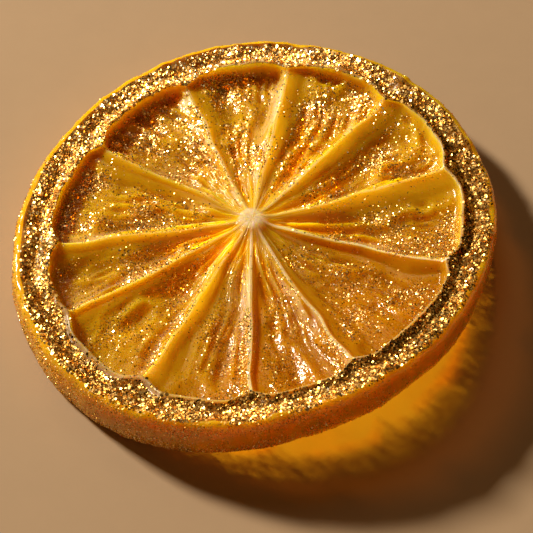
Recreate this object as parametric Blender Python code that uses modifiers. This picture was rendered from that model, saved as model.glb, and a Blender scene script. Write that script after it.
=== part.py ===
"""A dried slice of lemon as one solid: rind, pith, membranes, core and pulp hold together.

Metres, +Z up. The slice lies on the flat underside of its rind, with one side curled up, as a
slice does when it dries. Its box stands on z = 0 with the middle of the box on the Z axis.
"""

import math

import bmesh
import bpy

MM = 0.001

# The whole slice
RADIUS = 30.0 * MM
THICKNESS = 5.8 * MM
OVALNESS = 0.06
LONG_AXIS = math.radians(63.0)
EDGE_ROUNDING = 0.9 * MM
WALL_BULGE = 0.15 * MM

# The ring of rind and pith
RIM_WIDTH = 4.4 * MM
RIM_GROOVE = 0.3 * MM
CORNER_FILL = 1.0 * MM
CORNER_REACH = 1.8 * MM

# The core, off centre, and the membranes that run from it to the rind
CORE_X = -0.7 * MM
CORE_Y = 0.9 * MM
CORE_RADIUS = 1.5 * MM
CORE_FLARE = 3.0 * MM
MEMBRANES = [math.radians(a) for a in (24, 54, 84, 114, 149, 190, 214, 242, 270, 299, 348)]
MEMBRANE_WIDTH = 0.5 * MM
MEMBRANE_SLOPE = 1.1 * MM

# The sunken pulp between them, on the upper face and on the lower one
MEMBRANE_DROP = 0.4 * MM
PULP_DEPTH_ABOVE = 1.6 * MM
PULP_DEPTH_BELOW = 0.9 * MM
POCKET_SLOPE = 1.0 * MM
FOLDS = 3
FOLD_HEIGHT = 0.22 * MM

# The side that has curled up
CURL_HEIGHT = 4.5 * MM
CURL_START = 4.0 * MM
CURL_TOWARDS = math.radians(-54.0)

# How finely the slice is divided
STEPS_PER_SEGMENT = 12
PULP_RINGS = 6

PEEL_COLOUR = (0.62, 0.30, 0.02, 1.0)
PEEL_ROUGHNESS = 0.35


def clear_scene():
    """Remove what a new file holds."""
    for thing in list(bpy.data.objects):
        bpy.data.objects.remove(thing, do_unlink=True)


def smooth_step(value):
    """A soft ramp from 0 to 1."""
    value = min(max(value, 0.0), 1.0)
    return value * value * (3.0 - 2.0 * value)


def between(value, stops, results):
    """A straight-line reading of a table of two rows."""
    for i in range(1, len(stops)):
        if value <= stops[i]:
            share = (value - stops[i - 1]) / (stops[i] - stops[i - 1])
            return results[i - 1] + share * (results[i] - results[i - 1])
    return results[-1]


def upper_profile():
    """Half of the blank's section, from the axis out over the top and down to mid height."""
    inner = RADIUS - RIM_WIDTH
    radii = [0.0, 0.55 * CORE_RADIUS, CORE_RADIUS, 1.6 * CORE_RADIUS]
    first, last = 1.6 * CORE_RADIUS, inner - POCKET_SLOPE
    radii += [first + (last - first) * (i + 1) / PULP_RINGS for i in range(PULP_RINGS)]
    radii += [inner - 0.5 * POCKET_SLOPE, inner, inner + 0.2 * RIM_WIDTH, inner + 0.5 * RIM_WIDTH]
    points = [(radius, THICKNESS) for radius in radii]
    middle = (RADIUS - EDGE_ROUNDING, THICKNESS - EDGE_ROUNDING)
    for i in range(4):
        angle = math.radians(90.0 - 30.0 * i)
        points.append((middle[0] + EDGE_ROUNDING * math.cos(angle),
                       middle[1] + EDGE_ROUNDING * math.sin(angle)))
    return points


def blank_profile():
    """The blank's whole section, top to bottom down its outer side."""
    above = upper_profile()
    below = [(radius, THICKNESS - height) for radius, height in reversed(above)]
    return above + [(RADIUS + WALL_BULGE, 0.5 * THICKNESS)] + below


def turned_blank(name, collection):
    """A plain disc turned from its section, with the same number of steps in every segment."""
    points = blank_profile()
    outline = bpy.data.meshes.new(name + "_section")
    outline.from_pydata([(x, 0.0, z) for x, z in points],
                        [(i, i + 1) for i in range(len(points) - 1)], [])
    section = bpy.data.objects.new(name + "_section", outline)
    collection.objects.link(section)
    screw = section.modifiers.new("Turn", "SCREW")
    screw.axis = "Z"
    screw.angle = math.tau
    screw.steps = STEPS_PER_SEGMENT * len(MEMBRANES)
    screw.render_steps = screw.steps
    screw.use_merge_vertices = True
    screw.merge_threshold = 0.001 * MM
    evaluated = section.evaluated_get(bpy.context.evaluated_depsgraph_get())
    mesh = bpy.data.meshes.new_from_object(evaluated)
    mesh.name = name
    bpy.data.objects.remove(section, do_unlink=True)
    blank = bpy.data.objects.new(name, mesh)
    collection.objects.link(blank)
    return blank


def outline_radius(angle):
    """The slightly oval outline, seen from above."""
    return RADIUS * (1.0 + OVALNESS * math.cos(2.0 * (angle - LONG_AXIS)))


def segment_at(turn):
    """The two membranes beside a place on the blank, and its share of the way between them."""
    count = len(MEMBRANES)
    position = round(turn * count * STEPS_PER_SEGMENT) / STEPS_PER_SEGMENT
    index = int(position) % count
    start = MEMBRANES[index]
    end = MEMBRANES[(index + 1) % count]
    if end < start:
        end += math.tau
    return start, end, position - int(position)


def spread(share, width):
    """Crowd the steps of a segment towards its membranes, so that these keep a true width."""
    step = 1.0 / STEPS_PER_SEGMENT
    crowding = min(1.0, width / (4.0 * (MEMBRANE_WIDTH + MEMBRANE_SLOPE)))
    crest = crowding * 0.5 * MEMBRANE_WIDTH / width
    foot = crowding * (0.5 * MEMBRANE_WIDTH + MEMBRANE_SLOPE) / width
    return between(share, (0.0, step, 2.5 * step, 1.0 - 2.5 * step, 1.0 - step, 1.0),
                   (0.0, crest, foot, 1.0 - foot, 1.0 - crest, 1.0))


def pulp_shape(share, from_core, from_rim, from_membrane, depth):
    """How far the pulp lies below the rim: nothing on the rim and the core, least on membranes."""
    off_membrane = smooth_step((from_membrane - 0.5 * MEMBRANE_WIDTH) / MEMBRANE_SLOPE)
    off_core = smooth_step((from_core - CORE_RADIUS) / CORE_FLARE)
    folds = FOLD_HEIGHT * math.sin(math.tau * FOLDS * share)
    pulp = off_membrane * off_core * (depth - MEMBRANE_DROP + folds)
    return smooth_step(from_rim / POCKET_SLOPE) * (MEMBRANE_DROP * off_core + pulp)


def curl(x, y):
    """How far the slice has risen from the surface that it lies on."""
    along = x * math.cos(CURL_TOWARDS) + y * math.sin(CURL_TOWARDS)
    share = max(0.0, (along - CURL_START) / (RADIUS - CURL_START))
    return CURL_HEIGHT * share * share


def slice_point(radius, turn, height):
    """Where a point of the plain blank lies on the finished slice."""
    start, end, share = segment_at(turn)
    share = spread(share, max(radius, CORE_RADIUS) * (end - start))
    angle = start + share * (end - start)
    edge_x = outline_radius(angle) * math.cos(angle)
    edge_y = outline_radius(angle) * math.sin(angle)
    reach = math.hypot(edge_x - CORE_X, edge_y - CORE_Y)

    to_membrane = min(share, 1.0 - share) * (end - start)
    corner = (to_membrane * (RADIUS - RIM_WIDTH) / CORNER_REACH) ** 2
    pocket_edge = reach - RIM_WIDTH - CORNER_FILL * math.exp(-corner)
    stops = (0.0, 1.6 * CORE_RADIUS, RADIUS - RIM_WIDTH, RADIUS)
    distance = between(radius, stops, (0.0, stops[1], pocket_edge, reach))
    if radius > RADIUS:
        distance = reach + radius - RADIUS
    x = CORE_X + (edge_x - CORE_X) * distance / reach
    y = CORE_Y + (edge_y - CORE_Y) * distance / reach

    upper = height > 0.5 * THICKNESS
    depth = PULP_DEPTH_ABOVE if upper else PULP_DEPTH_BELOW
    sunk = pulp_shape(share, distance, pocket_edge - distance, to_membrane * distance, depth)
    if upper and radius < RADIUS - EDGE_ROUNDING:
        across = (distance - pocket_edge) / (reach - pocket_edge)
        sunk += RIM_GROOVE * max(0.0, 1.0 - abs(4.0 * across - 2.0))
    height += -sunk if upper else sunk
    return x, y, height + curl(x, y)


def shape_slice(blank):
    """Move every point of the blank to its place on the slice, and centre the slice's box."""
    form = bmesh.new()
    form.from_mesh(blank.data)
    for vertex in form.verts:
        turn = (math.atan2(vertex.co.y, vertex.co.x) / math.tau) % 1.0
        vertex.co = slice_point(math.hypot(vertex.co.x, vertex.co.y), turn, vertex.co.z)
    middle = [0.0, 0.0]
    for axis in (0, 1):
        places = [vertex.co[axis] for vertex in form.verts]
        middle[axis] = 0.5 * (min(places) + max(places))
    bmesh.ops.translate(form, verts=form.verts, vec=(-middle[0], -middle[1], 0.0))
    bmesh.ops.triangulate(form, faces=form.faces)
    form.to_mesh(blank.data)
    form.free()


def peel_material():
    """Glossy amber rind."""
    material = bpy.data.materials.new("candied_peel")
    material.use_nodes = True
    shader = material.node_tree.nodes["Principled BSDF"]
    shader.inputs["Base Color"].default_value = PEEL_COLOUR
    shader.inputs["Roughness"].default_value = PEEL_ROUGHNESS
    shader.inputs["Metallic"].default_value = 0.0
    return material


def main():
    clear_scene()
    collection = bpy.data.collections.new("lemon_slice_parts")
    bpy.context.scene.collection.children.link(collection)
    lemon_slice = turned_blank("lemon_slice", collection)
    shape_slice(lemon_slice)
    lemon_slice.data.materials.append(peel_material())
    lemon_slice.data.shade_smooth()
    lemon_slice.data.set_sharp_from_angle(angle=math.radians(50.0))


main()
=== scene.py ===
"""A candied slice of lemon, dusted with gold glitter.

Laid out as an add-on and run as a script. The shape is worked out from the sizes in the property
groups, in metres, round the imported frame, and every piece takes its places from the same skin.
"""

import math
from types import SimpleNamespace

import bpy
import numpy as np
from bpy.props import FloatProperty, FloatVectorProperty, IntProperty, PointerProperty
from mathutils import Matrix, Vector


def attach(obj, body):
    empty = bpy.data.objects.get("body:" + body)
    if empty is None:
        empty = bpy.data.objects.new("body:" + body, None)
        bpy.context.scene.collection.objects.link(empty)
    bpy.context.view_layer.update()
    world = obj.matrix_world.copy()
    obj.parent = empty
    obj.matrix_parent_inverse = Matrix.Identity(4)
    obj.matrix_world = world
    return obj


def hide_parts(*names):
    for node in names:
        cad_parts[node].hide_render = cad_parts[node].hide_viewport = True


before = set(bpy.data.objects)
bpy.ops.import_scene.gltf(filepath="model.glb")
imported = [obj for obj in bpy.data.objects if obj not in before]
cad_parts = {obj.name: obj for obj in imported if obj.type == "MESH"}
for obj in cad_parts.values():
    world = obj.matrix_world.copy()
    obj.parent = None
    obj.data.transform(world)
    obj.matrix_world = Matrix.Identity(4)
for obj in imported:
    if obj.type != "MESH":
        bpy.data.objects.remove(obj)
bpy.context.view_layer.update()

bl_info = {
    "name": "Candied lemon slice",
    "version": (1, 0, 0),
    "blender": (4, 5, 0),
    "location": "3D View > Sidebar > Lemon slice",
    "description": "Makes a candied slice of lemon with glitter, and a stage for it",
    "category": "Object",
}

MM = 0.001
TAU = math.tau
TINY = 1e-9

# The membranes: direction from the middle in degrees, which side its smooth face is on (-1 is
# clockwise), the width and drop of that face in millimetres, how yellow it is (partly its own paler
# skin, partly painted light shining through it), how white its crest
MEMBRANES = (
    (24, -1, 2.9, 0.50, 1.0, 0.45),
    (54, -1, 2.8, 0.50, 1.0, 0.45),
    (84, -1, 2.0, 0.42, 1.0, 0.50),
    (114, -1, 1.0, 0.28, 0.8, 0.50),
    (149, 1, 0.9, 0.45, 0.4, 0.15),
    (190, 1, 1.1, 0.42, 0.8, 0.25),
    (214, 1, 0.6, 0.35, 0.5, 0.35),
    (242, 1, 1.9, 0.48, 1.0, 0.35),
    (270, 1, 1.2, 0.95, 0.0, 0.85),
    (299, 1, 0.8, 0.50, 0.2, 0.70),
    (348, -1, 1.6, 1.05, 0.0, 0.90),
)
# Stretches of bare pith along the pulp's edge: direction, reach to each side, and width in mm
BARE_PITH = ((230, 26, 0.32), (254, 14, 0.16), (97, 9, 0.28), (71, 9, 0.28), (5, 50, 0.14),
             (300, 45, 0.15))

# Details of the skin that stay as they are: first lengths seen from above
CORNER_REACH = 1.7 * MM
POCKET_UNEVENNESS = 0.30 * MM
POCKET_SLOPE = 0.9 * MM
CORE_SLOPE = 10 * MM
SMOOTH_SLOPE = 3.8 * MM
FACE_SWELL = 5 * MM
FACE_START = 15 * MM
LEAST_FACE = 0.05 * MM
CREST_WIDTH = 0.085 * MM
# then heights
WIDE_HEIGHT = 0.25 * MM
LIP_HEIGHT = 0.14 * MM
FIBRE_HEIGHT = 0.17 * MM
CORE_HEIGHT = 0.24 * MM
PORE_HEIGHT = 0.11 * MM
DENT_HEIGHT = 0.12 * MM
# and how many long folds and fine wrinkles lie side by side
FOLDS_PER_RADIAN = 7.5
RAYS_PER_RADIAN = 22.0

# How the bake's image is shared out between the stations, from the upper core to the lower one
MAP_ROWS = (0.002, 0.42, 0.57, 0.70, 0.80, 0.998)

# Half the width of a flake on the bake's image, where flakes lie by their tint
FLAKE_SPOT = 0.003

# The way that flakes lean where they catch the light
LEFTWARDS = np.array((-0.98, -0.19, 0.0))

# Flakes painted nearly black, as shade on flakes that catch no light: their tint, and their width
# as a share of the others'
PAINTED_DARK_TINT = 0.06
PAINTED_DARK_WIDTH = 0.72

# What light takes on where it only passes through a finish on its way to something else
PULP_SHADE = (1.16, 0.93, 0.15)
RIND_SHADE = (0.12, 0.045, 0.002)
PEEL_SHADE = (0.12, 0.045, 0.003)
GOLD_SHADE = (0.92, 0.78, 0.45)
PULP_GOLD_SHADE = (0.95, 0.80, 0.48)
UNDER_GOLD_SHADE = (0.20, 0.11, 0.02)

# The two weak lights: direction and height in degrees, size in metres, watts and colour
FILL = (-60.0, 40.0, 0.5, 0.2, (1.0, 0.56, 0.21))
BACK = (105.0, 50.0, 0.3, 0.4, (1.0, 0.76, 0.46))
KEY_SIZE = 0.11
KEY_WATTS = 10.2
LAMP_DISTANCE = 0.8
SURROUND_COLOUR = (0.29, 0.145, 0.035, 1.0)
SURROUND_STRENGTH = 0.20
CAMERA_AIM = (1.3 * MM, -4.1 * MM, 3.0 * MM)
SENSOR_WIDTH = 36.0
FLOOR_HALF = 1.5
FLOOR_HEIGHT = -0.05 * MM

# What the skin's two middle points are made of, and the painted shading there
MIDDLES = {"pith": 1.0, "thin": 0.5}

# How finely the skin is divided
OUTLINE_STEPS = 1441
NORMAL_STEP = 0.002
STEPS_PER_SEGMENT = 66
PULP_RINGS = 60
RIM_RINGS = 20
WALL_RINGS = 12
UNDER_RIM_RINGS = 8
UNDER_PULP_RINGS = 28
STEP_CROWDING = 0.11
RING_CROWDING = 1.25

# The station where the cut rind ends on the lower face
UNDER_RIND_END = 3.15


# ---------------------------------------------------------------- sizes and colours


def length(name, description, default):
    """A size that a user may change."""
    return FloatProperty(name=name, description=description, default=default, subtype="DISTANCE",
                         unit="LENGTH", precision=5)


def colour(name, description, default):
    """A colour that a user may change."""
    return FloatVectorProperty(name=name, description=description, default=default, size=3,
                               min=0.0, max=1.0, subtype="COLOR")


def angle(name, description, degrees):
    """A direction or a tilt that a user may change."""
    return FloatProperty(name=name, description=description, default=math.radians(degrees),
                         subtype="ANGLE")


class SliceShape(bpy.types.PropertyGroup):
    """The slice's sizes."""

    radius: length("Radius", "Mean radius of the outline", 30.0 * MM)
    ovalness: FloatProperty(name="Ovalness", description="Departure from a circle", default=0.06)
    long_axis: angle("Long axis", "Direction of the oval's long axis", 63.0)
    thickness: length("Thickness", "Thickness of the rind", 5.8 * MM)
    edge: length("Edge", "Rounding where the cut face meets the peel", 1.0 * MM)
    waviness: length("Waviness", "Unevenness of the outline", 0.35 * MM)
    rim_width: length("Rim width", "Width of the ring of peel and pith", 4.3 * MM)
    rim_groove: length("Rim groove", "Depth of the valley along the ring", 0.65 * MM)
    rim_lumps: length("Rim lumps", "Height of the lumps on the ring", 0.42 * MM)
    corner_fill: length("Corner fill", "How far the pith reaches in at a membrane", 1.0 * MM)
    core_x: length("Core X", "The core's place across", -0.7 * MM)
    core_y: length("Core Y", "The core's place along", 0.9 * MM)
    core_radius: length("Core radius", "Radius of the white core", 1.5 * MM)
    membrane_width: length("Membrane width", "Width of a membrane's crest", 0.24 * MM)
    rough_slope: length("Rough slope", "Width of a membrane's wrinkled side", 1.7 * MM)
    membrane_drop: length("Membrane drop", "How far a membrane lies below the rim", 0.35 * MM)
    pulp_depth: length("Pulp depth", "How far the pulp has sunk on the upper face", 1.7 * MM)
    under_depth: length("Under depth", "How far the pulp has sunk on the lower face", 1.1 * MM)
    fold_height: length("Fold height", "Height of the pulp's long folds", 0.60 * MM)
    wrinkle_height: length("Wrinkle height", "Height of the fine wrinkles", 0.26 * MM)
    crumple_height: length("Crumple height", "Height of the crumpling", 0.14 * MM)
    curl_height: length("Curl height", "How far the curled side rises", 4.5 * MM)
    curl_start: length("Curl start", "Where the curl begins, from the middle", 4.0 * MM)
    curl_towards: angle("Curl towards", "Direction of the curled side", -54.0)


class SliceColours(bpy.types.PropertyGroup):
    """The slice's colours."""

    # Lit and shaded tones of one pulp: the deep one is painted shade at the bottom of the hollows,
    # the thin one the pulp lit on the crests of its folds
    pulp_light: colour("Thin pulp", "Pulp on the crests of its folds", (0.89, 0.58, 0.015))
    pulp_deep: colour("Deep pulp", "Pulp at the bottom of the hollows", (0.54, 0.27, 0.004))
    # Painted shade: the colour that the pulp is darkened towards on the side away from the light,
    # which is also the curled side
    pulp_painted_shade: colour("Dark pulp", "Pulp on the side that has curled up", (0.47, 0.155, 0.001))
    # The membranes' own paler skin, made bright as painted light shining through the smooth faces
    skin: colour("Membrane", "Smooth faces of the membranes", (0.96, 0.61, 0.012))
    pith: colour("Pith", "Crests and core", (0.87, 0.70, 0.42))
    peel: colour("Peel", "The outside of the rind", (0.90, 0.50, 0.010))
    rind_cut: colour("Cut rind", "The rind under the glitter", (0.42, 0.19, 0.012))
    gold: colour("Gold", "Most of the glitter", (1.0, 0.68, 0.22))
    bronze: colour("Bronze", "The darkest glitter", (0.16, 0.075, 0.012))
    champagne: colour("Champagne", "The palest glitter", (1.0, 0.90, 0.66))


class GlitterAmounts(bpy.types.PropertyGroup):
    """How much glitter lies where, and its size."""

    rim_count: IntProperty(name="Rim flakes", description="Flakes on the ring", default=40000)
    pulp_count: IntProperty(name="Pulp flakes", description="Flakes on the pulp", default=46000)
    peel_count: IntProperty(name="Peel flakes", description="Flakes on the peel", default=24000)
    under_count: IntProperty(name="Under flakes", description="Flakes below", default=45000)
    rim_size: length("Rim flake", "Width of a flake on the ring", 0.31 * MM)
    pulp_size: length("Pulp flake", "Width of a flake on the pulp", 0.175 * MM)
    under_size: length("Under flake", "Width of a flake on the lower face", 0.20 * MM)
    peel_size: length("Peel flake", "Width of a flake on the peel", 0.13 * MM)
    seed: IntProperty(name="Seed", description="Start of the random draws", default=7)


class StageSettings(bpy.types.PropertyGroup):
    """The camera, the lights and the floor."""

    camera_elevation: angle("Elevation", "Height of the camera above the horizon", 52.2)
    camera_roll: angle("Roll", "Turn of the camera about its line of sight", 2.8)
    camera_distance: length("Distance", "From the camera to what it looks at", 267.0 * MM)
    focal_length: FloatProperty(name="Lens", description="Focal length, in mm", default=149.5)
    key_elevation: angle("Key elevation", "Height of the main light", 31.5)
    key_azimuth: angle("Key azimuth", "Direction that the main light comes from", 146.0)
    key_colour: colour("Key colour", "Colour of the main light", (1.0, 0.86, 0.66))
    floor: colour("Floor", "Colour of the floor", (0.475, 0.335, 0.213))


# ---------------------------------------------------------------- noise and small sums
#
# The last number of each noise is its seed. No two patterns share one.


def lattice(i, j, seed):
    """A fixed random number from -1 to 1 for each whole place."""
    mixed = np.sin(i * 127.1 + j * 311.7 + seed * 74.7) * 43758.5453
    return 2.0 * (mixed - np.floor(mixed)) - 1.0


def noise(x, y, seed):
    """Smooth noise from -1 to 1, with lumps about one unit wide."""
    i, j = np.floor(x), np.floor(y)
    u, v = x - i, y - j
    u, v = u * u * (3 - 2 * u), v * v * (3 - 2 * v)
    near = lattice(i, j, seed) * (1 - u) + lattice(i + 1, j, seed) * u
    far = lattice(i, j + 1, seed) * (1 - u) + lattice(i + 1, j + 1, seed) * u
    return near * (1 - v) + far * v


def rough(x, y, seed):
    """Noise with finer noise on it, from about -1 to 1."""
    total = 0.0
    for octave in range(3):
        total = total + noise(x * 2**octave, y * 2**octave, seed + 11 * octave) / 2**octave
    return total / 1.6


def ridged(x, y, seed):
    """Noise with sharp crests, from 0 in the hollows to 1 on the crests."""
    return 1.0 - np.abs(noise(x, y, seed)) * 1.6


def soft(value):
    """A soft ramp from 0 to 1."""
    value = np.clip(value, 0.0, 1.0)
    return value * value * (3 - 2 * value)


def bump(value, width):
    """1 at zero, falling away on both sides."""
    return np.exp(-((value / width) ** 2))


def facing(turn, degrees):
    """1 in this direction from the middle, 0 square to it and -1 opposite to it."""
    return np.cos(turn - math.radians(degrees))


def round_noise(kind, turn, fineness, shift, seed):
    """Noise of this kind that closes on itself round the slice."""
    return kind(np.cos(turn) * fineness + shift, np.sin(turn) * fineness + shift, seed)


def flat_noise(kind, x, y, size, shift, seed):
    """Noise of this kind with lumps of this size, seen from above."""
    return kind(x / size + shift, y / size + shift, seed)


# ---------------------------------------------------------------- the slice's skin


class Skin:
    """The slice's surface. A place on it is a direction from the core, in radians, and a station:
    0 to 1 over the upper pulp from the core to its edge, 1 to 2 over the rim, 2 to 3 down the
    peel, 3 to 4 back over the lower rim, and 4 to 5 over the lower pulp to the core."""

    def __init__(self, shape):
        self.s = shape
        table = np.array(MEMBRANES + MEMBRANES[:1], float)
        self.starts = np.radians(table[:, 0] + 360.0 * (np.arange(len(table)) == len(MEMBRANES)))
        self.smooth_side = table[:, 1]
        self.face_width, self.face_drop = table[:, 2] * MM, table[:, 3] * MM
        self.face_yellow, self.crest_white = table[:, 4], table[:, 5]
        rays = np.round(np.diff(self.starts) * RAYS_PER_RADIAN)
        self.first_ray = np.concatenate([[0], np.cumsum(rays)])
        turns = np.linspace(0.0, TAU, OUTLINE_STEPS)
        self.middle = np.zeros(2)
        edge = np.stack(self.outline(turns), 1)
        self.middle = 0.5 * (edge.min(0) + edge.max(0))

    def outline(self, turn):
        """The widest line of the slice, seen from above."""
        s = self.s
        radius = s.radius * (1 + s.ovalness * np.cos(2 * (turn - s.long_axis)))
        return radius * np.cos(turn) - self.middle[0], radius * np.sin(turn) - self.middle[1]

    def segment(self, turn):
        """For a direction: its segment, the segment's width and the share of the way across."""
        turn = np.where(turn < self.starts[0], turn + TAU, turn)
        index = np.clip(np.searchsorted(self.starts, turn, side="right") - 1, 0, len(MEMBRANES) - 1)
        width = self.starts[index + 1] - self.starts[index]
        return index, width, (turn - self.starts[index]) / width

    def wander(self, turn, distance):
        """How far the membranes and folds stray from straight rays, in radians."""
        far = distance / self.s.radius
        stray = noise(turn * 1.6, far * 4.0, 3) * 0.55 + noise(turn * 3.1, far * 9.0, 4) * 0.25
        return stray * MM / np.maximum(distance, 4 * MM) * soft(far * 2)

    def curl(self, x, y):
        """How far the slice has risen from the surface it lies on."""
        s = self.s
        along = x * math.cos(s.curl_towards) + y * math.sin(s.curl_towards)
        share = np.clip((along - s.curl_start) / (s.radius - s.curl_start), 0.0, None)
        return s.curl_height * share * share

    def at(self, turn, station):
        """The points at these places, and what the slice is made of there, with its painted light
        and shade.
        """
        here = self.plan(np.asarray(turn, float) % TAU, station)
        self.sink(here)
        self.crease(here)
        self.shape_rim(here)
        return self.points(here), self.made_of(here)

    def plan(self, turn, station):
        """How these places lie, seen from above, and how near they are to the parts round them."""
        s = self.s
        here = SimpleNamespace(turn=turn, upper=station < 2.5)
        part = np.where(here.upper, station, 5.0 - station)
        here.pulp = np.clip(part, 0.0, 1.0)
        here.rim = np.clip(part - 1.0, 0.0, 1.0)
        here.side = np.clip((part - 2.0) * 2.0, 0.0, 1.0) * TAU / 4
        here.waves = round_noise(rough, turn, 3, 9, 6)

        edge_x, edge_y = self.outline(turn)
        here.core_x, here.core_y = s.core_x - self.middle[0], s.core_y - self.middle[1]
        here.reach = np.hypot(edge_x - here.core_x, edge_y - here.core_y)
        here.index, here.width, here.share = self.segment(turn)
        gap = np.minimum(here.share, 1 - here.share) * here.width
        corner = bump(gap * (s.radius - s.rim_width), CORNER_REACH)
        uneven = round_noise(rough, turn, 9, 30, 5) * POCKET_UNEVENNESS
        here.pocket = here.reach - s.rim_width - s.corner_fill * corner + uneven
        edge_run = s.edge * np.sin(here.side) ** 0.7
        outer = here.reach + s.waviness * here.waves
        here.distance = (here.pulp * here.pocket + here.rim * (outer - s.edge - here.pocket)
                         + edge_run)
        here.membrane = gap * here.distance - 0.5 * s.membrane_width

        true_turn = turn + self.wander(turn, here.distance) * np.clip(1.2 - here.rim * 3, 0, 1)
        out_x, out_y = self.outline(true_turn)
        out = np.hypot(out_x - here.core_x, out_y - here.core_y)
        scale = here.distance / np.maximum(out, TINY)
        here.x = here.core_x + (out_x - here.core_x) * scale
        here.y = here.core_y + (out_y - here.core_y) * scale
        here.far = here.distance / MM
        return here

    def sink(self, here):
        """How far the pulp lies below the rim. Each membrane has a smooth face on one side, which
        falls away gently, and a wrinkled one on the other."""
        s = self.s
        here.depth = np.where(here.upper, s.pulp_depth, s.under_depth)
        here.nearest = np.where(here.share < 0.5, here.index, here.index + 1)
        here.smooth_side = (here.share < 0.5) == (self.smooth_side[here.nearest] > 0)
        room = np.maximum(0.44 * here.width * here.distance, LEAST_FACE)
        swell = noise(here.distance / FACE_SWELL + here.nearest * 3.1, here.nearest * 9.7, 20)
        face = self.face_width[here.nearest] * (0.80 + 0.40 * swell)
        face = np.minimum(face * soft(here.distance / FACE_START), 0.55 * room)
        here.face = np.where(here.smooth_side, np.maximum(face, TINY), LEAST_FACE)
        drop = np.where(here.smooth_side, self.face_drop[here.nearest], LEAST_FACE)
        drop = drop * np.minimum(1, here.depth / s.pulp_depth)
        on_face = np.clip(here.membrane / here.face, 0, 1)
        run = np.minimum(np.where(here.smooth_side, SMOOTH_SLOPE, s.rough_slope), 0.85 * room)
        past = np.clip((here.membrane - 0.7 * here.face) / run, 0, 1)
        here.past = np.where(here.smooth_side, soft(past), 1 - (1 - past) ** 1.8)
        inside = np.clip((here.pocket - here.distance) / POCKET_SLOPE, 0, 1)
        here.inside = 1 - (1 - inside) ** 2.2
        here.from_core = np.clip((here.distance - s.core_radius) / CORE_SLOPE, 0, 1) ** 0.75
        fall = drop * on_face ** 1.4 + (here.depth - s.membrane_drop - drop) * here.past
        on_crest = s.membrane_drop * soft(here.from_core * 4)
        here.sunk = here.inside * (on_crest + fall * here.from_core)

    def crease(self, here):
        """The height of the long folds, of the fine wrinkles that run out from the core, and of
        the crumpling. Little of it reaches the smooth faces."""
        s = self.s
        x, y = here.x, here.y
        here.seed = here.index + np.where(here.upper, 0, 40)
        lean = noise(here.far / 6.0, here.index * 7.3, 21) * 0.5
        across = here.share * np.round(here.width * FOLDS_PER_RADIAN) + lean
        here.ray = here.share * np.round(here.width * RAYS_PER_RADIAN) + lean * 2.5
        folds = ridged(across, here.far / 7.0 + here.seed * 3.7, 22) - 0.45
        fine = ridged(here.ray, here.far / 3.0 + here.seed * 5.1, 23) - 0.45
        crumple = flat_noise(ridged, x, y, 1.2 * MM, 90, 25) - 0.45
        here.wide = flat_noise(noise, x, y, 5 * MM, 40, 24)
        creased = flat_noise(noise, x, y, 4 * MM, 70, 26)
        creased = 0.30 + soft(0.5 + 1.2 * creased + 0.35 * facing(here.turn, 110.0))

        on_smooth = 0.12 * soft(here.membrane / (0.8 * MM)) + 0.88 * soft(here.past * 1.6)
        hold = np.where(here.smooth_side, on_smooth, soft(here.membrane / (0.35 * MM)))
        by_crest = 1 + 0.9 * np.exp(-np.abs(here.membrane) / (1.2 * MM)) * (1 - here.smooth_side)
        relief = s.fold_height * folds + WIDE_HEIGHT * here.wide
        relief += creased * (s.wrinkle_height * fine * by_crest + s.crumple_height * crumple)
        here.relief = hold * here.inside * soft(here.from_core * 2.2) * relief

    def shape_rim(self, here):
        """The height of the rim's valley, of its lumps and of its inner lip of bare pith."""
        s = self.s
        on_rim = soft(here.rim * 6) * np.clip(1 - here.side, 0, 1)
        bottom = 0.46 + 0.12 * round_noise(noise, here.turn, 6, 7, 31)
        valley = np.where(here.rim < bottom, here.rim / bottom, (1 - here.rim) / (1 - bottom))
        hollow = s.rim_groove * valley ** 1.15 * (0.8 + 0.5 * here.waves)
        lumps = flat_noise(rough, here.x, here.y, 1.9 * MM, 60, 33) * s.rim_lumps
        lip_width, bare = LEAST_FACE, 0.0
        for direction, spread, wide_mm in BARE_PITH:
            away = (here.turn - math.radians(direction) + TAU / 2) % TAU - TAU / 2
            near = 1 - soft((np.degrees(np.abs(away)) - 0.7 * spread) / (0.3 * spread))
            lip_width = np.maximum(lip_width, near * wide_mm * MM * (1 + 0.3 * here.waves))
            bare = np.maximum(bare, near)
        past_lip = here.distance - here.pocket
        here.bare = bare * (1 - soft(np.abs(past_lip - lip_width) / lip_width - 0.7))
        lip = LIP_HEIGHT * bump(past_lip - 0.2 * MM, 0.25 * MM)
        here.above = np.where(here.upper, on_rim * (lumps - hollow) + lip,
                              -0.6 * on_rim * np.abs(lumps))

    def points(self, here):
        """The points in space, with the core's fibres and the peel's pores and soft dents."""
        s = self.s
        x, y = here.x, here.y
        in_core = soft((s.core_radius * 1.15 - here.distance) / (0.5 * MM))
        fibres = flat_noise(rough, x, y, 0.40 * MM, 20, 41) * FIBRE_HEIGHT + CORE_HEIGHT
        half = 0.5 * s.thickness
        height = half + half * np.cos(here.side) ** 0.7 - here.sunk + here.relief + here.above
        height = height + in_core * fibres
        z = np.where(here.upper, height, s.thickness - height)

        along = here.turn * s.radius / MM
        pores = rough(along / 1.1, z / MM / 1.1 + 50, 51) * PORE_HEIGHT
        dents = noise(along / 4, z / MM / 4, 52) * DENT_HEIGHT
        push = 1 + (pores + dents) * soft(here.side * 3) / here.reach
        x, y = here.core_x + (x - here.core_x) * push, here.core_y + (y - here.core_y) * push
        return np.stack([x, y, np.maximum(z + self.curl(x, y), 0.0)], -1)

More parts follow.
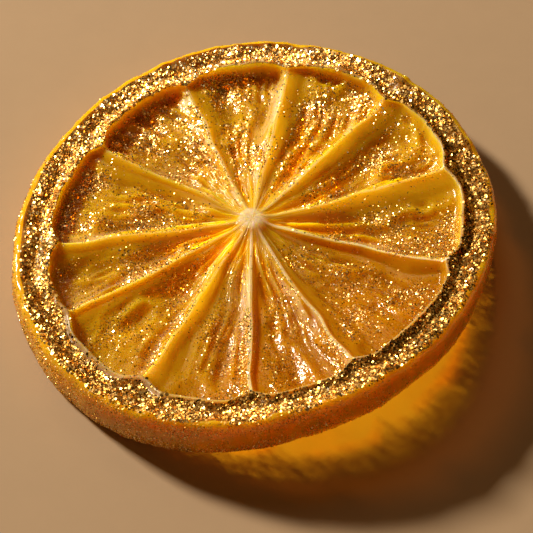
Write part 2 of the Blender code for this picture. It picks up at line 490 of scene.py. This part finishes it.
    def made_of(self, here):
        """What the slice is made of, and the painted light and shade on it, as shares that its
        materials read.
        """
        s = self.s
        off_crest = np.maximum(here.membrane, 0)
        near_core = np.exp(-np.clip(here.distance - s.core_radius, 0, None) / (4 * MM))
        strands = ridged(here.ray * 0.8, here.far / 14.0 + here.seed, 42)
        strands = soft(strands * 2.2 - 1.2) * near_core * 0.45
        film = ridged(here.ray * 1.3, here.far / 8.0 + here.seed * 2.3, 44)
        film = soft(film * 2.0 - 0.55) * (1 - here.smooth_side)
        film *= 0.95 * np.exp(-off_crest / (1.5 * MM)) * soft(here.distance / (7 * MM))
        film *= np.clip(0.65 + 0.7 * noise(here.far / 5.0, here.nearest * 3.3, 45), 0, 1)
        crest = 1 + 0.5 * noise(here.far / 4.0, here.nearest * 5.7, 43)
        crest = crest * self.crest_white[here.nearest] * bump(off_crest, CREST_WIDTH)

        smooth = here.smooth_side * (1 - soft(here.past * 1.3)) * (here.pulp < 1)
        # Painted shade on the side that faces away from the light, which is also the curled side:
        # it darkens the pulp there and dims the yellow of its smooth faces
        amber = soft(1.4 * facing(here.turn, 304.0) - 0.35)
        amber *= 0.45 + 0.55 * soft((here.pulp - 0.2) / 0.5)
        # Painted light: the smooth faces, turned away from the light, are made yellow as if lit
        # through from behind. They are brightest midway along and darker towards the rim, as
        # painted shadow of the rim. Part of the yellow is the membranes' own paler skin
        skin_and_painted_glow = here.smooth_side * np.clip(1 - here.membrane / (here.face * 1.2), 0, 1) ** 0.8
        skin_and_painted_glow *= soft(here.distance / (12 * MM)) * (0.8 + 0.4 * here.wide)
        skin_and_painted_glow *= (0.15 + 0.85 * bump(here.distance - 12 * MM, 8 * MM)) * (1 - 0.3 * amber)
        # Painted shade in the hollows: the higher the pulp stands the lighter it is, and the deeper
        # it lies the darker
        thin = np.clip(1.0 - (here.sunk - here.relief) / (1.25 * here.depth), 0, 1)
        return {
            "pith": np.maximum.reduce([
                crest * soft(here.from_core * 9) * (here.rim < 0.1),
                strands * (here.pulp < 1),
                film * here.inside,
                (0.45 + 0.25 * here.waves) * here.bare,
                soft((s.core_radius * 1.2 - here.distance) / (0.35 * MM)),
            ]),
            # The membranes' skin, with painted light shining through it
            "skin": self.face_yellow[here.nearest] * skin_and_painted_glow * here.inside,
            "smooth": smooth,
            "amber": amber,
            "thin": thin * (1 - 0.8 * smooth) * (1 - 0.5 * amber),
            "across": self.first_ray[here.index] + here.ray,
            "far": here.far,
            "bare": here.bare,
        }

    def normals(self, turn, station):
        """Outward directions of the skin at these places."""
        step = NORMAL_STEP
        along = self.at(turn, station + step)[0] - self.at(turn, station - step)[0]
        across = self.at(turn + step, station)[0] - self.at(turn - step, station)[0]
        out = np.cross(along, across)
        return out / np.maximum(np.linalg.norm(out, axis=-1, keepdims=True), 1e-12)


# ---------------------------------------------------------------- materials


class Value:
    """A node's output. Sums and products of numbers add their Math nodes."""

    def __init__(self, board, socket):
        self.board = board
        self.socket = socket

    def maths(self, operation, first, second):
        return self.board.node("ShaderNodeMath", {"operation": operation}, {0: first, 1: second})

    def __add__(self, other):
        return self.maths("ADD", self, other)

    def __sub__(self, other):
        return self.maths("SUBTRACT", self, other)

    def __rsub__(self, other):
        return self.maths("SUBTRACT", other, self)

    def __mul__(self, other):
        return self.maths("MULTIPLY", self, other)

    def __pow__(self, other):
        return self.maths("POWER", self, other)

    __radd__ = __add__
    __rmul__ = __mul__


class Board:
    """A material's nodes."""

    def __init__(self, name):
        self.material = bpy.data.materials.new(name)
        self.material.use_nodes = True
        self.tree = self.material.node_tree
        self.tree.nodes.clear()

    def node(self, kind, settings, sockets, output=0):
        """Adds a node: its settings first, then its sockets' values or links."""
        made = self.tree.nodes.new(kind)
        for name, value in settings.items():
            if name == "stops":
                set_stops(made.color_ramp, value)
            else:
                setattr(made, name, value)
        for name, value in sockets.items():
            if isinstance(value, Value):
                self.tree.links.new(value.socket, made.inputs[name])
            else:
                made.inputs[name].default_value = value
        return Value(self, made.outputs[output]) if len(made.outputs) else None

    def attribute(self, name):
        return self.node("ShaderNodeAttribute", {"attribute_name": name}, {}, "Fac")

    def noise(self, size, detail):
        """Noise whose lumps are about this size, in metres."""
        place = self.node("ShaderNodeTexCoord", {}, {}, "Object")
        return self.node("ShaderNodeTexNoise", {}, {"Vector": place, "Scale": 1.0 / size,
                                                    "Detail": detail, "Roughness": 0.55})

    def rays(self, fineness, length):
        """Noise drawn out along the pulp's rays."""
        place = self.node("ShaderNodeCombineXYZ", {}, {0: self.attribute("across") * fineness,
                                                       1: self.attribute("far") * length})
        return self.node("ShaderNodeTexNoise", {}, {"Vector": place, "Scale": 1.0, "Detail": 3.0,
                                                    "Distortion": 0.3})

    def mix(self, factor, first, second):
        """A mix of two colours."""
        return self.node("ShaderNodeMix", {"data_type": "RGBA"},
                         {0: factor, 6: as_colour(first), 7: as_colour(second)}, 2)

    def ramp(self, value, stops):
        return self.node("ShaderNodeValToRGB", {"stops": stops}, {"Fac": value})

    def bumps(self, height, strength, distance):
        return self.node("ShaderNodeBump", {}, {"Height": height, "Strength": strength,
                                                "Distance": distance})

    def finish(self, sockets, shade=None):
        """Puts the Principled shader on the output. With shade, light that only passes through
        on its way to something else is tinted by that colour."""
        shader = self.node("ShaderNodeBsdfPrincipled", {}, sockets)
        if shade is not None:
            passing = self.node("ShaderNodeLightPath", {}, {}, "Is Shadow Ray")
            tinted = self.node("ShaderNodeBsdfTransparent", {}, {"Color": (*shade, 1.0)})
            shader = self.node("ShaderNodeMixShader", {}, {0: passing, 1: shader, 2: tinted})
        self.node("ShaderNodeOutputMaterial", {}, {"Surface": shader})
        return self.material


def set_stops(ramp, stops):
    """Gives a colour ramp its stops."""
    while len(ramp.elements) < len(stops):
        ramp.elements.new(1.0)
    for element, (place, value) in zip(ramp.elements, stops):
        element.position = place
        element.color = value


def as_colour(value):
    """Links stay, and three numbers get a full alpha."""
    return value if isinstance(value, Value) else (*value, 1.0)


def pulp_material(colours):
    """Clear golden-orange pulp with pale membranes, wet with sugar."""
    board = Board("candied_pulp")
    thin, pith = board.attribute("thin"), board.attribute("pith")
    cloud = board.noise(2.2 * MM, 3.0)
    fine = board.noise(0.35 * MM, 2.0)
    rays = board.rays(1.6, 0.45)
    # Painted shade in the hollows and on the side away from the light, with tone that differs at
    # random
    tone = thin * 1.05 + cloud * 0.55 - 0.24
    body = board.mix(tone, colours.pulp_deep, colours.pulp_light)
    # Painted shade: the pulp darkened on the side away from the light
    body = board.mix(board.attribute("amber") * 0.65, body, colours.pulp_painted_shade)
    streaks = rays * 0.9 + 0.55
    # The yellow smooth faces: partly the membranes' own skin, partly painted light shining through
    # them
    body = board.mix(board.attribute("skin") * streaks, body, colours.skin)
    base = board.mix(pith ** 1.2, body, colours.pith)
    height = (rays + fine * 0.25) * (1 - board.attribute("smooth") * 0.8)
    gloss = board.node("ShaderNodeMapRange", {}, {"Value": rays, "From Min": 0.35, "From Max": 0.65,
                                                  "To Min": 0.07, "To Max": 0.20})
    return board.finish({
        "Base Color": base,
        "Roughness": gloss + pith * 0.25,
        "Subsurface Weight": 1.0,
        "Subsurface Radius": (1.0, 0.78, 0.07),
        "Subsurface Scale": 4.5 * MM,
        "IOR": 1.42,
        "Normal": board.bumps(height, 1.0, 0.18 * MM),
    }, PULP_SHADE)


def rind_material(colours):
    """The cut ring under the glitter, with bare pith along its inner edge."""
    board = Board("cut_rind")
    cloud = board.noise(3.0 * MM, 4.0)
    fine = board.noise(0.5 * MM, 3.0)
    base = board.mix(cloud, colours.rind_cut, [c * 0.5 for c in colours.rind_cut])
    base = board.mix(board.attribute("pith") ** 1.5, base, colours.pith)
    return board.finish({
        "Base Color": base,
        "Roughness": fine * 0.25 + 0.20,
        "Subsurface Weight": 0.8,
        "Subsurface Radius": (1.0, 0.55, 0.05),
        "Subsurface Scale": 5.0 * MM,
        "IOR": 1.45,
        "Normal": board.bumps(fine, 0.5, 0.12 * MM),
    }, RIND_SHADE)


def peel_material(colours):
    """Candied peel, clear and glossy, that light passes through."""
    board = Board("candied_peel")
    cloud = board.noise(3.0 * MM, 4.0)
    fine = board.noise(0.6 * MM, 2.0)
    return board.finish({
        "Base Color": board.mix(cloud, colours.peel, [c * 0.6 for c in colours.peel]),
        "Roughness": fine * 0.14 + 0.09,
        "Subsurface Weight": 1.0,
        "Subsurface Radius": (1.0, 0.68, 0.05),
        "Subsurface Scale": 6.5 * MM,
        "IOR": 1.42,
        "Normal": board.bumps(fine, 0.35, 0.10 * MM),
    }, PEEL_SHADE)


def glitter_material(name, colours, shade):
    """Metal flakes whose tint changes from flake to flake."""
    board = Board(name)
    tint = board.ramp(board.attribute("tint"), [
        # The lowest stops hold the flakes painted nearly black as shade
        (0.0, as_colour([c * 0.2 for c in colours.bronze])),
        (0.15, as_colour(colours.bronze)),
        (0.42, as_colour(colours.gold)),
        (0.75, as_colour(colours.gold)),
        (1.0, as_colour(colours.champagne)),
    ])
    return board.finish({"Base Color": tint, "Metallic": 1.0,
                         "Roughness": board.attribute("tint") * -0.25 + 0.50}, shade)


# ---------------------------------------------------------------- meshes


def add_object(name, mesh, materials):
    """Puts a mesh in the scene, riding on the frame."""
    for material in materials:
        mesh.materials.append(material)
    piece = bpy.data.objects.new(name, mesh)
    bpy.context.scene.collection.objects.link(piece)
    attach(piece, "root")
    return piece


def fast_mesh(name, points, corners, sides):
    """A mesh from arrays: its points, and the corners of faces that all have this many sides."""
    mesh = bpy.data.meshes.new(name)
    faces = len(corners) // sides
    mesh.vertices.add(len(points))
    mesh.vertices.foreach_set("co", points.astype(np.float32).ravel())
    mesh.loops.add(len(corners))
    mesh.loops.foreach_set("vertex_index", corners.astype(np.int32))
    mesh.polygons.add(faces)
    mesh.polygons.foreach_set("loop_start", np.arange(faces, dtype=np.int32) * sides)
    mesh.update(calc_edges=True)
    return mesh


def set_attribute(mesh, name, values):
    """One number for each of the mesh's points."""
    attribute = mesh.attributes.new(name, "FLOAT", "POINT")
    attribute.data.foreach_set("value", np.asarray(values, np.float32).ravel())


def set_bake_map(mesh, places):
    """A place on the baked image for each corner of each face."""
    layer = mesh.uv_layers.new(name="OFBake")
    layer.uv.foreach_set("vector", np.asarray(places, np.float32).ravel())


def crowded_turns(skin):
    """Directions round the slice, closest together beside the membranes."""
    steps = np.arange(STEPS_PER_SEGMENT) / STEPS_PER_SEGMENT
    crowd = steps - STEP_CROWDING * np.sin(TAU * steps)
    return np.concatenate([a + (b - a) * crowd for a, b in zip(skin.starts, skin.starts[1:])])


def ring_stations():
    """Stations of the rings from the upper face to the lower one, without the two middles."""
    pulp = 1 - (1 - np.arange(1, PULP_RINGS + 1) / PULP_RINGS) ** RING_CROWDING
    rim = 1 + np.arange(1, RIM_RINGS + 1) / RIM_RINGS
    wall = 2 + np.arange(1, WALL_RINGS) / WALL_RINGS
    under_rim = 3 + np.arange(UNDER_RIM_RINGS + 1) / UNDER_RIM_RINGS
    under_pulp = 4 + (np.arange(1, UNDER_PULP_RINGS) / UNDER_PULP_RINGS) ** RING_CROWDING
    return np.concatenate([pulp, rim, wall, under_rim, under_pulp])


def slice_faces(rings, count):
    """The faces between the rings of points, then those round the top and the bottom middle."""
    ring, step = np.meshgrid(np.arange(rings - 1), np.arange(count), indexing="ij")
    after = (step + 1) % count
    quads = np.stack([ring * count + step, (ring + 1) * count + step,
                      (ring + 1) * count + after, ring * count + after], -1).reshape(-1, 4)
    around = np.arange(count)
    beyond = (around + 1) % count
    top, bottom, last_ring = rings * count, rings * count + 1, (rings - 1) * count
    cap = np.stack([np.full(count, top), around, beyond], 1)
    foot = np.stack([last_ring + around, np.full(count, bottom), last_ring + beyond], 1)
    return quads.tolist() + cap.tolist() + foot.tolist()


def slice_bake_map(stations, count):
    """The faces' places on the baked image: across by direction, and up by station."""
    ring, step = np.meshgrid(np.arange(len(stations) - 1), np.arange(count), indexing="ij")
    around = np.arange(count)
    rows = np.interp(stations, range(len(MAP_ROWS)), MAP_ROWS)
    across = [np.stack([step, step, step + 1, step + 1], -1),
              np.stack([around + 0.5, around, around + 1], 1),
              np.stack([around, around + 0.5, around + 1], 1)]
    up = [np.stack([rows[ring], rows[ring + 1], rows[ring + 1], rows[ring]], -1),
          np.tile([MAP_ROWS[0], rows[0], rows[0]], count),
          np.tile([rows[-1], MAP_ROWS[-1], rows[-1]], count)]
    return np.stack([np.concatenate([part.ravel() for part in across]) / count,
                     np.concatenate([part.ravel() for part in up])], -1)


def slice_slots(stations, count):
    """The material of each face: 0 for pulp, 1 for cut rind and 2 for peel."""
    station = np.repeat(0.5 * (stations[:-1] + stations[1:]), count)
    is_pulp = (station < 1) | (station > UNDER_RIND_END)
    is_cut_rind = (station < 2) | (station > 3)
    slots = np.where(is_pulp, 0, np.where(is_cut_rind, 1, 2))
    return np.concatenate([slots, np.zeros(2 * count, int)])


def slice_mesh(skin):
    """The slice's skin as one closed mesh."""
    turns, stations = crowded_turns(skin), ring_stations()
    count, rings = len(turns), len(stations)
    places, made_of = skin.at(np.tile(turns, rings), np.repeat(stations, count))
    top, _ = skin.at(turns[:1], np.array([0.0]))
    bottom, _ = skin.at(turns[:1], np.array([5.0]))
    points = np.concatenate([places, top, bottom])
    mesh = bpy.data.meshes.new("lemon_flesh")
    mesh.from_pydata(points.tolist(), [], slice_faces(rings, count))
    for name, values in made_of.items():
        middle = MIDDLES.get(name, 0.0)
        set_attribute(mesh, name, np.concatenate([values, [middle, middle]]))
    set_bake_map(mesh, slice_bake_map(stations, count))
    mesh.polygons.foreach_set("material_index", slice_slots(stations, count))
    mesh.polygons.foreach_set("use_smooth", np.ones(len(mesh.polygons), bool))
    mesh.update()
    return mesh


def flake_mesh(name, centres, ups, widths, tints, draws, tilt, toward):
    """Six-sided flakes in one mesh, each leaning its own way from the surface below it."""
    count = len(centres)
    ups = ups + draws.normal(0.0, 1.0, (count, 3)) * tilt + toward[:, None] * LEFTWARDS
    ups /= np.linalg.norm(ups, axis=1, keepdims=True)
    side = np.cross(ups, draws.normal(0.0, 1.0, (count, 3)))
    side /= np.linalg.norm(side, axis=1, keepdims=True)
    front = np.cross(ups, side)
    corner = np.arange(6) * TAU / 6
    points = centres[:, None, :] + 0.5 * widths[:, None, None] * (
        np.cos(corner)[None, :, None] * side[:, None, :]
        + np.sin(corner)[None, :, None] * front[:, None, :])
    mesh = fast_mesh(name, points.reshape(-1, 3), np.arange(6 * count), 6)
    set_attribute(mesh, "tint", np.repeat(tints, 6))
    spot = np.stack([np.cos(corner), np.sin(corner)], -1) * FLAKE_SPOT
    home = np.stack([tints, draws.uniform(0.0, 1.0, count)], -1)
    home = home * (1 - 4 * FLAKE_SPOT) + 2 * FLAKE_SPOT
    set_bake_map(mesh, home[:, None, :] + spot)
    return mesh


def scattered(skin, count, low, high, keep, draws):
    """Random places on the skin between two stations, with as many per area everywhere, thinned
    by how likely each place is to keep a flake."""
    turns, stations = np.zeros(0), np.zeros(0)
    while len(turns) < count:
        turn = draws.uniform(0.0, TAU, 4 * count)
        station = draws.uniform(low, high, 4 * count)
        part = np.where(station < 2.5, station, 5 - station)
        size = np.where(part < 1, part, 1.0)
        kept = draws.uniform(0.0, 1.0, 4 * count) < size * keep(turn, station)
        turns = np.concatenate([turns, turn[kept]])
        stations = np.concatenate([stations, station[kept]])
    return turns[:count], stations[:count]


def glitter(name, skin, places, draws, size, tilt, toward, lift, tint, painted_dark_share, shade):
    """A piece of flakes at these places on the skin. Tilt is how unevenly they lie, toward is how
    much they lean to the light, and lift is how far the highest stand off. Tint is their mean from
    dark to pale, and painted_dark_share is the share of them painted nearly black, as shade on
    flakes that catch no light."""
    turns, stations = places
    centres, _ = skin.at(turns, stations)
    ups = skin.normals(turns, stations)
    count = len(turns)
    usual, large = draws.uniform(0.0, 1.0, count), draws.uniform(0.0, 1.0, count) ** 9
    widths = size * (0.55 + 0.55 * usual + 0.9 * large)
    centres = centres + ups * (lift * draws.uniform(0.1, 1.0, count))[:, None]
    tints = np.clip(draws.normal(tint, 0.22, count), 0, 1)
    dark = draws.uniform(0.0, 1.0, count) < painted_dark_share
    tints = np.where(dark, PAINTED_DARK_TINT, tints)
    widths = widths * np.where(dark, PAINTED_DARK_WIDTH, 1.0)
    toward = np.broadcast_to(toward, count)
    mesh = flake_mesh(name, centres, ups, widths, tints, draws, tilt, toward)
    material = glitter_material(name, bpy.context.scene.lemon_colours, shade)
    piece = add_object(name, mesh, [material])


# ---------------------------------------------------------------- operators


class LEMON_OT_flesh(bpy.types.Operator):
    """Make the slice itself: peel, pith, membranes, core and pulp in one piece"""

    bl_idname = "lemon.flesh"
    bl_label = "Slice"

    def execute(self, context):
        scene = context.scene
        skin = Skin(scene.lemon_shape)
        colours = scene.lemon_colours
        mesh = slice_mesh(skin)
        materials = [pulp_material(colours), rind_material(colours), peel_material(colours)]
        piece = add_object("lemon_flesh", mesh, materials)
        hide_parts("lemon_slice")
        return {"FINISHED"}


class LEMON_OT_rim_glitter(bpy.types.Operator):
    """Cover the ring round the pulp with glitter"""

    bl_idname = "lemon.rim_glitter"
    bl_label = "Rim glitter"

    def execute(self, context):
        amounts = context.scene.lemon_glitter
        skin = Skin(context.scene.lemon_shape)
        draws = np.random.default_rng(amounts.seed)

        def keep(turn, station):
            rim = station - 1
            patch = round_noise(rough, turn, 8, rim * 2, 61)
            off_pith = 1 - 0.93 * skin.at(turn, station)[1]["bare"]
            edge = 1.12 - 0.13 * soft(0.5 + facing(turn, 112.0)) + 0.10 * patch
            return np.clip(0.85 + patch, 0.3, 1) * off_pith * soft((edge - rim) / 0.12)

        places = scattered(skin, amounts.rim_count, 1.0, 2.15, keep, draws)
        turns, rims = places[0], places[1] - 1
        # Where painted shade darkens the flakes: the inner band of the rim on the side away from
        # the light
        shaded = soft(0.4 + facing(turns, -30.0)) * (1 - soft((rims - 0.3) / 0.3))
        right = soft(1.6 * facing(turns, 0.0) - 0.3)
        top = soft(0.2 + facing(turns, 112.0))
        left = soft(1.4 * facing(turns, 188.0) - 0.2)
        # Painted highlight and shade on the rim's flakes: paler, smoother flakes on the top, and
        # darker flakes, with more of them nearly black, on the shaded inner band, the right and the
        # left
        tint = 0.57 + 0.23 * top - 0.18 * shaded - 0.06 * right - 0.05 * left
        painted_dark_share = 0.08 + 0.34 * shaded + 0.30 * right + 0.14 * left
        toward = 0.30 * top - 0.20 * right - 0.06 * left
        glitter("rim_glitter", skin, places, draws, size=amounts.rim_size, tilt=0.42, toward=toward,
                lift=0.10 * MM, tint=tint, painted_dark_share=painted_dark_share, shade=GOLD_SHADE)
        return {"FINISHED"}


class LEMON_OT_pulp_glitter(bpy.types.Operator):
    """Dust the pulp with fine glitter"""

    bl_idname = "lemon.pulp_glitter"
    bl_label = "Pulp glitter"

    def execute(self, context):
        amounts = context.scene.lemon_glitter
        skin = Skin(context.scene.lemon_shape)
        draws = np.random.default_rng(amounts.seed + 1)

        def keep(turn, station):
            patch = round_noise(rough, turn, station * 7, 20, 62)
            off_smooth = 1 - 0.92 * skin.at(turn, station)[1]["smooth"]
            return np.clip(0.40 + 1.3 * patch, 0.10, 1) * soft((station - 0.10) / 0.3) * off_smooth

        places = scattered(skin, amounts.pulp_count, 0.08, 0.99, keep, draws)
        turns, stations = places
        blaze = round_noise(rough, turns, stations * 5, 7, 64)
        curled = soft(1.4 * facing(turns, 310.0) - 0.3)
        toward = 0.30 * np.clip(blaze, -0.4, 1) + 0.24 * facing(turns, 58.0) - 0.08 * curled
        size = amounts.pulp_size * (1 + 0.25 * soft(facing(turns, 105.0)))
        # More flakes painted nearly black, as shade, on the curled side, which faces away from the
        # light
        glitter("pulp_glitter", skin, places, draws, size=size, tilt=0.33, toward=toward,
                lift=0.05 * MM, tint=0.74, painted_dark_share=0.26 + 0.16 * curled, shade=PULP_GOLD_SHADE)
        return {"FINISHED"}


class LEMON_OT_peel_glitter(bpy.types.Operator):
    """Dust the outside of the peel with fine glitter, thickest on one side"""

    bl_idname = "lemon.peel_glitter"
    bl_label = "Peel glitter"

    def execute(self, context):
        amounts = context.scene.lemon_glitter
        skin = Skin(context.scene.lemon_shape)
        draws = np.random.default_rng(amounts.seed + 2)

        def keep(turn, station):
            dusty = soft(0.12 + 1.1 * facing(turn, 222.0)) * soft((station - 2.0) / 0.5)
            patch = rough(turn * 9, station * 4, 63)
            return np.clip(dusty * (0.7 + 0.8 * patch), 0.025, 1)

        places = scattered(skin, amounts.peel_count, 2.05, 2.92, keep, draws)
        # A share of the flakes painted nearly black as shade
        glitter("peel_glitter", skin, places, draws, size=amounts.peel_size, tilt=0.55, toward=0.0,
                lift=0.04 * MM, tint=0.58, painted_dark_share=0.20, shade=GOLD_SHADE)
        return {"FINISHED"}


class LEMON_OT_under_glitter(bpy.types.Operator):
    """Dust the lower face, thickest on its rim"""

    bl_idname = "lemon.under_glitter"
    bl_label = "Under glitter"

    def execute(self, context):
        amounts = context.scene.lemon_glitter
        skin = Skin(context.scene.lemon_shape)
        draws = np.random.default_rng(amounts.seed + 3)

        def keep(turn, station):
            part = 5 - station
            patch = round_noise(rough, turn, part * 6, 3, 65)
            return np.clip(0.03 + soft((part - 0.95) / 0.8) + 0.06 * patch, 0.02, 1)

        places = scattered(skin, amounts.under_count, 3.05, 4.85, keep, draws)
        # A share of the flakes painted nearly black as shade
        glitter("under_glitter", skin, places, draws, size=amounts.under_size, tilt=0.25,
                toward=0.0, lift=0.03 * MM, tint=0.60, painted_dark_share=0.15, shade=UNDER_GOLD_SHADE)
        return {"FINISHED"}


class LEMON_OT_stage(bpy.types.Operator):
    """Make the floor, the lights and the camera"""

    bl_idname = "lemon.stage"
    bl_label = "Stage"

    def execute(self, context):
        stage = context.scene.lemon_stage
        add_floor(stage)
        add_lights(stage)
        add_camera(stage)
        context.scene.view_settings.view_transform = "Standard"
        return {"FINISHED"}


def add_floor(stage):
    """A plain pale floor."""
    half = FLOOR_HALF
    mesh = bpy.data.meshes.new("floor")
    mesh.from_pydata([(-half, -half, 0), (half, -half, 0), (half, half, 0), (-half, half, 0)],
                     [], [(0, 1, 2, 3)])
    board = Board("floor")
    grain = board.noise(4.0 * MM, 5.0)
    base = board.mix(grain, stage.floor, [c * 0.93 for c in stage.floor])
    mesh.materials.append(board.finish({"Base Color": base, "Roughness": 0.85}))
    floor = bpy.data.objects.new("floor", mesh)
    bpy.context.scene.collection.objects.link(floor)
    floor.location.z = FLOOR_HEIGHT


def add_lamp(name, azimuth, elevation, size, watts, tint):
    """A square soft light that faces the slice."""
    data = bpy.data.lights.new(name, "AREA")
    data.size = size
    data.energy = watts
    data.color = tint
    lamp = bpy.data.objects.new(name, data)
    bpy.context.scene.collection.objects.link(lamp)
    way = Vector((math.cos(azimuth) * math.cos(elevation), math.sin(azimuth) * math.cos(elevation),
                  math.sin(elevation)))
    lamp.location = way * LAMP_DISTANCE
    lamp.rotation_euler = way.to_track_quat("Z", "Y").to_euler()


def add_lights(stage):
    """One main light low on the left, two weak ones and a dim surround."""
    add_lamp("key", stage.key_azimuth, stage.key_elevation, KEY_SIZE, KEY_WATTS, stage.key_colour)
    for name, (azimuth, elevation, size, watts, tint) in (("fill", FILL), ("back", BACK)):
        add_lamp(name, math.radians(azimuth), math.radians(elevation), size, watts, tint)
    world = bpy.data.worlds.new("surround")
    world.use_nodes = True
    background = world.node_tree.nodes["Background"]
    background.inputs["Color"].default_value = SURROUND_COLOUR
    background.inputs["Strength"].default_value = SURROUND_STRENGTH
    bpy.context.scene.world = world


def add_camera(stage):
    """A long lens, looking down on the slice from the front."""
    data = bpy.data.cameras.new("camera")
    data.lens = stage.focal_length
    data.sensor_width = SENSOR_WIDTH
    data.clip_start, data.clip_end = 0.01, 10.0
    camera = bpy.data.objects.new("camera", data)
    bpy.context.scene.collection.objects.link(camera)
    back = Vector((0.0, -math.cos(stage.camera_elevation), math.sin(stage.camera_elevation)))
    camera.location = Vector(CAMERA_AIM) + back * stage.camera_distance
    turn = (-back).to_track_quat("-Z", "Y").to_matrix() @ Matrix.Rotation(stage.camera_roll, 3, "Z")
    camera.rotation_euler = turn.to_euler()
    bpy.context.scene.camera = camera


class LEMON_PT_panel(bpy.types.Panel):
    """Lists the pieces of the slice"""

    bl_idname = "LEMON_PT_panel"
    bl_label = "Lemon slice"
    bl_space_type = "VIEW_3D"
    bl_region_type = "UI"
    bl_category = "Lemon slice"

    def draw(self, context):
        for operator in OPERATORS:
            self.layout.operator(operator.bl_idname)
        for group in GROUPS:
            settings = getattr(context.scene, group)
            for name in settings.__annotations__:
                self.layout.prop(settings, name)


GROUPS = {
    "lemon_shape": SliceShape,
    "lemon_colours": SliceColours,
    "lemon_glitter": GlitterAmounts,
    "lemon_stage": StageSettings,
}
OPERATORS = (LEMON_OT_stage, LEMON_OT_flesh, LEMON_OT_rim_glitter, LEMON_OT_pulp_glitter,
             LEMON_OT_peel_glitter, LEMON_OT_under_glitter)


def register():
    """Adds the settings, the operators and the panel."""
    for kind in (*GROUPS.values(), *OPERATORS, LEMON_PT_panel):
        bpy.utils.register_class(kind)
    for name, kind in GROUPS.items():
        setattr(bpy.types.Scene, name, PointerProperty(type=kind))


def unregister():
    """Takes them away again."""
    for name in GROUPS:
        delattr(bpy.types.Scene, name)
    for kind in reversed((*GROUPS.values(), *OPERATORS, LEMON_PT_panel)):
        bpy.utils.unregister_class(kind)


def main():
    """Makes the stage and every piece."""
    register()
    bpy.ops.lemon.stage()
    bpy.ops.lemon.flesh()
    bpy.ops.lemon.rim_glitter()
    bpy.ops.lemon.pulp_glitter()
    bpy.ops.lemon.peel_glitter()
    bpy.ops.lemon.under_glitter()


if __name__ == "__main__":
    main()
